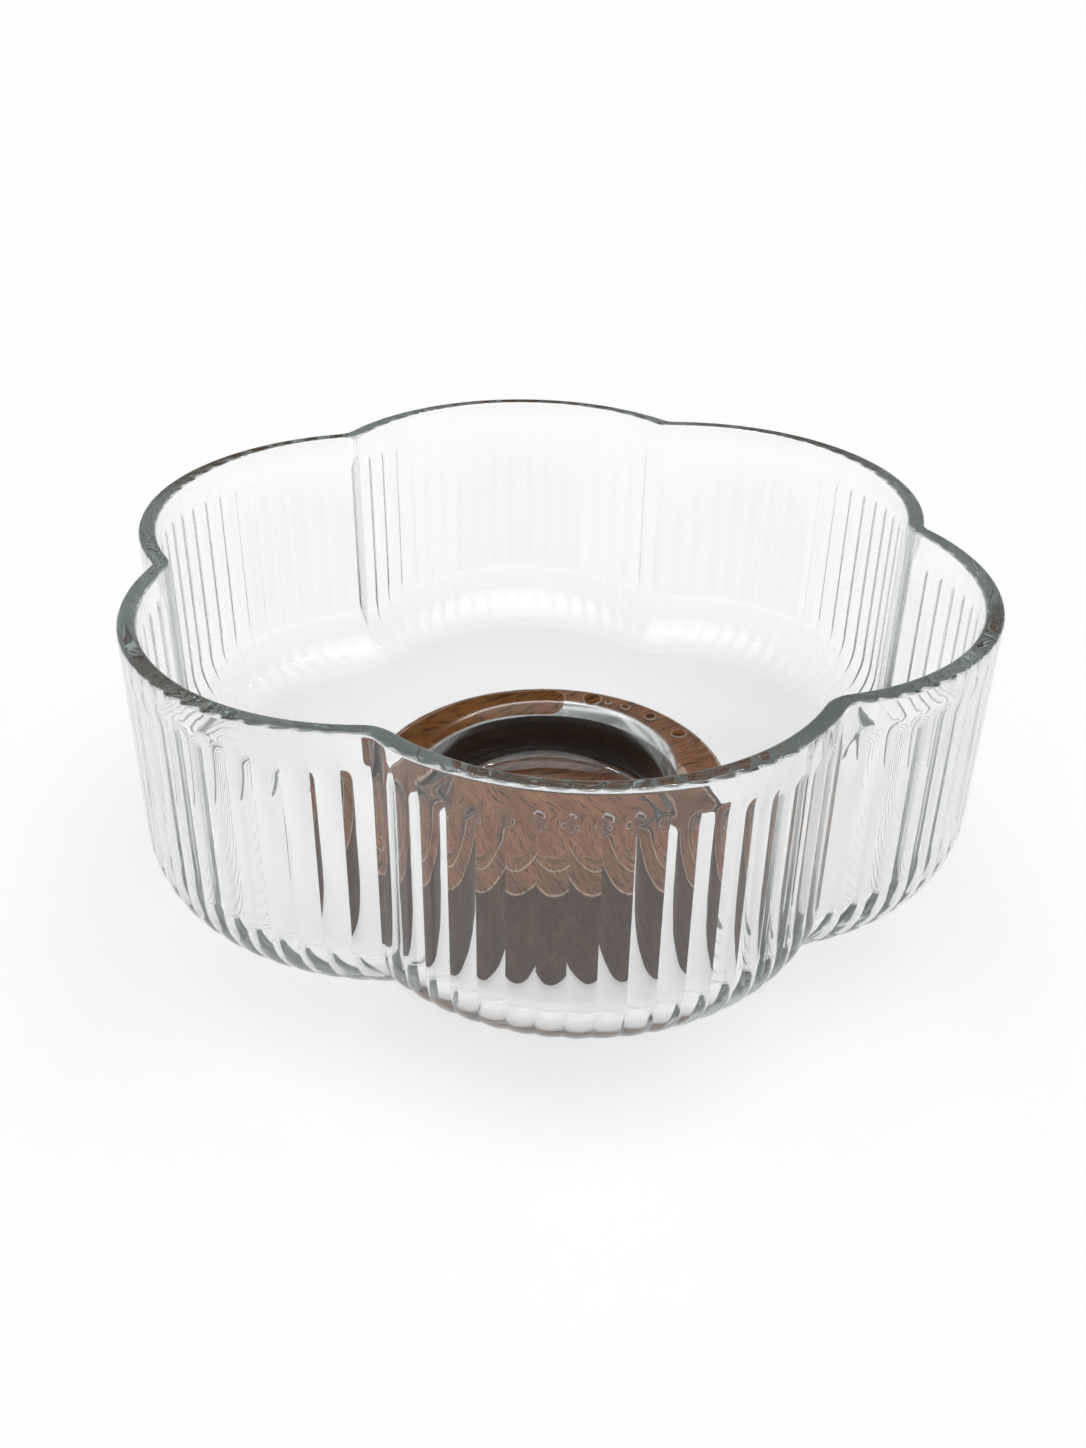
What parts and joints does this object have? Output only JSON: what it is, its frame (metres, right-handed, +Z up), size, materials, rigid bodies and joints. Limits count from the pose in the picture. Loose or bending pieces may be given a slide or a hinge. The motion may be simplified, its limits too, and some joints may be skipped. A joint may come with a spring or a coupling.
{
  "type": "floating candle bowl",
  "caption": "Clear ribbed glass bowl, flower-shaped in plan, with a round candle well in its floor, glued onto a turned brown wooden foot.",
  "frame": {"origin": "centre of the underside, on the surface that the rubber feet stand on", "axes": "+Z up along the axis of the candle well, one petal tip towards -Y, a notch between petals towards +X"},
  "size_m": [0.1876, 0.2, 0.0954],
  "materials": {
    "clear_glass": "pressed and fire-polished",
    "brown_wood": "turned and oiled",
    "clear_adhesive": "clear, glossy",
    "rubber": "matte"
  },
  "bodies": {
    "root": {"glass_bowl": "clear_glass", "wooden_foot": "brown_wood", "bond_patch": "clear_adhesive", "bond_drops": "clear_adhesive", "well_bond_drops": "clear_adhesive", "rubber_feet": "rubber"}
  },
  "joints": []
}
